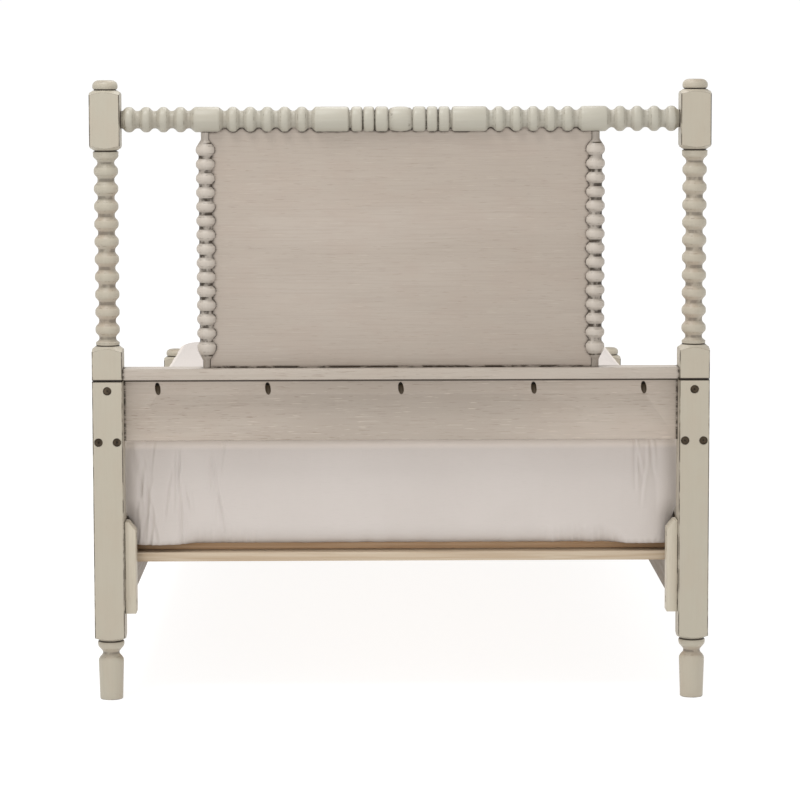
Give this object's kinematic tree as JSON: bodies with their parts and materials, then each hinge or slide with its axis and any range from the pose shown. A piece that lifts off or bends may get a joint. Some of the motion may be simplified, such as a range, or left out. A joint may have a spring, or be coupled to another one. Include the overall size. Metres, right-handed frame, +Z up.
{
  "type": "spool-turned twin bed",
  "caption": "Painted twin bed with spool-turned head posts and rails, flat headboard panel, low footboard, side rails, pine slat base and a mattress in a fitted sheet.",
  "frame": {"origin": "on the floor under the middle of the bed's bounding box", "axes": "+Z up, +Y from the headboard to the footboard, +X to the right when facing the headboard's back"},
  "size_m": [1.1, 2.025, 1.11],
  "materials": {
    "painted_wood": "antique white paint with a dark glaze rubbed into the grooves, satin",
    "painted_turning": "antique white paint with a dark glaze in the creases, satin",
    "painted_board": "greige glazed paint with fine streaks along the board, satin",
    "bronzed_steel": "dark bronze plated hex-socket furniture bolts",
    "insert_brass": "bright brass threaded inserts",
    "zinc_steel": "zinc plated steel hardware",
    "pine": "planed unfinished pine",
    "mattress_cover": "quilted knitted ticking, matt",
    "sheet_cotton": "off-white woven cotton, matt"
  },
  "bodies": {
    "bed_frame": {"head_post_left": "painted_wood", "head_post_right": "painted_wood", "head_leg_left": "painted_wood", "head_leg_right": "painted_wood", "headboard_spindle_left": "painted_wood", "headboard_spindle_right": "painted_wood", "foot_post_left": "painted_wood", "foot_post_right": "painted_wood", "side_rail_left": "painted_wood", "side_rail_right": "painted_wood", "head_cleat_left": "painted_wood", "head_cleat_right": "painted_wood", "foot_cleat_left": "painted_wood", "foot_cleat_right": "painted_wood", "headboard_top_rail": "painted_turning", "footboard_top_rail": "painted_turning", "headboard_panel": "painted_board", "headboard_cap_rail": "painted_board", "headboard_lower_board": "painted_board", "footboard_cap_rail": "painted_board", "footboard_board": "painted_board", "head_leg_bolts_left": "bronzed_steel", "head_leg_bolts_right": "bronzed_steel", "head_leg_inserts": "insert_brass", "headboard_pocket_screws": "zinc_steel", "footboard_pocket_screws": "zinc_steel", "cleat_bolts": "zinc_steel", "rail_hook_plates": "zinc_steel", "post_slot_plates": "zinc_steel", "base_corner_brackets": "zinc_steel", "ledger_screws": "zinc_steel", "slat_screws": "zinc_steel", "ledger_left": "pine", "ledger_right": "pine", "head_end_batten": "pine", "foot_end_batten": "pine", "slat_01": "pine", "slat_02": "pine", "slat_03": "pine", "slat_04": "pine", "slat_05": "pine", "slat_06": "pine", "slat_07": "pine", "slat_08": "pine", "slat_09": "pine", "slat_10": "pine", "slat_11": "pine", "slat_12": "pine", "slat_13": "pine"},
    "mattress_set": {"mattress": "mattress_cover", "fitted_sheet": "sheet_cotton"}
  },
  "joints": [
    {"name": "mattress_lift", "type": "slide", "parent": "bed_frame", "child": "mattress_set", "axis": [0, 0, 1], "range_m": [0, 0.25]}
  ]
}
